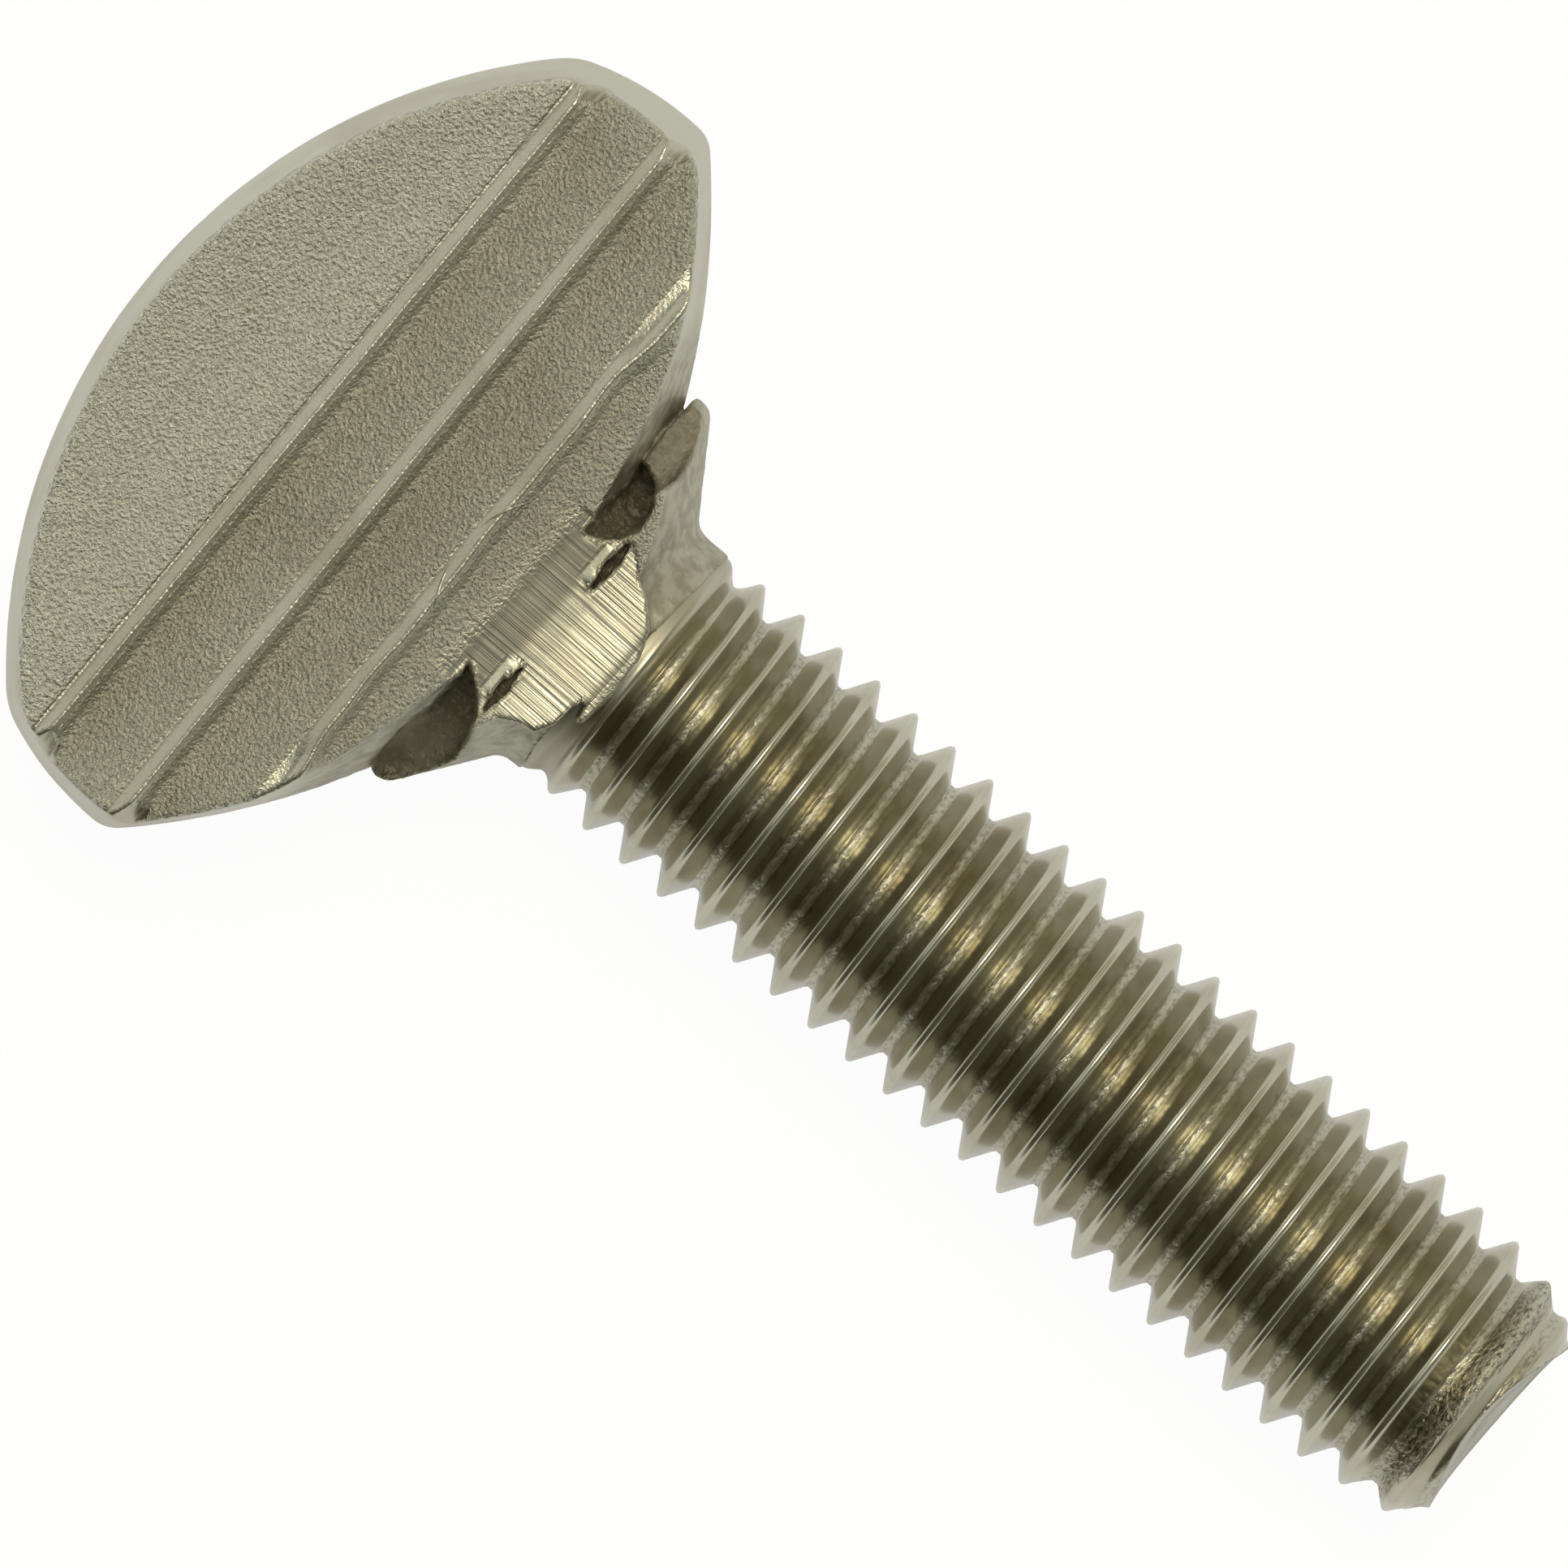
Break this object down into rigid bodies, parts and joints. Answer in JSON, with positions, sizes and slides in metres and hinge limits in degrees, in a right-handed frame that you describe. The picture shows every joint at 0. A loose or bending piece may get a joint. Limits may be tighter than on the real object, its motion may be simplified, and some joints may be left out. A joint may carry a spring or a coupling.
{
  "type": "thumb screw",
  "caption": "Steel thumb screw lying flat: a broad, shield-shaped head with cross ribs on both faces, a flared collar under it and a round threaded shank.",
  "frame": {"origin": "on the shank's axis, where its full thread diameter starts below the plain neck", "axes": "+Y along the shank's axis from the tip to the head, +X across the head's width, +Z out of one ribbed face; the screw lies on the other face and on its thread"},
  "size_m": [0.0147, 0.0284, 0.0056],
  "materials": {
    "steel": "blasted faces, satin walls, rolled shank"
  },
  "bodies": {
    "root": {"thumb_screw": "steel"}
  },
  "joints": []
}
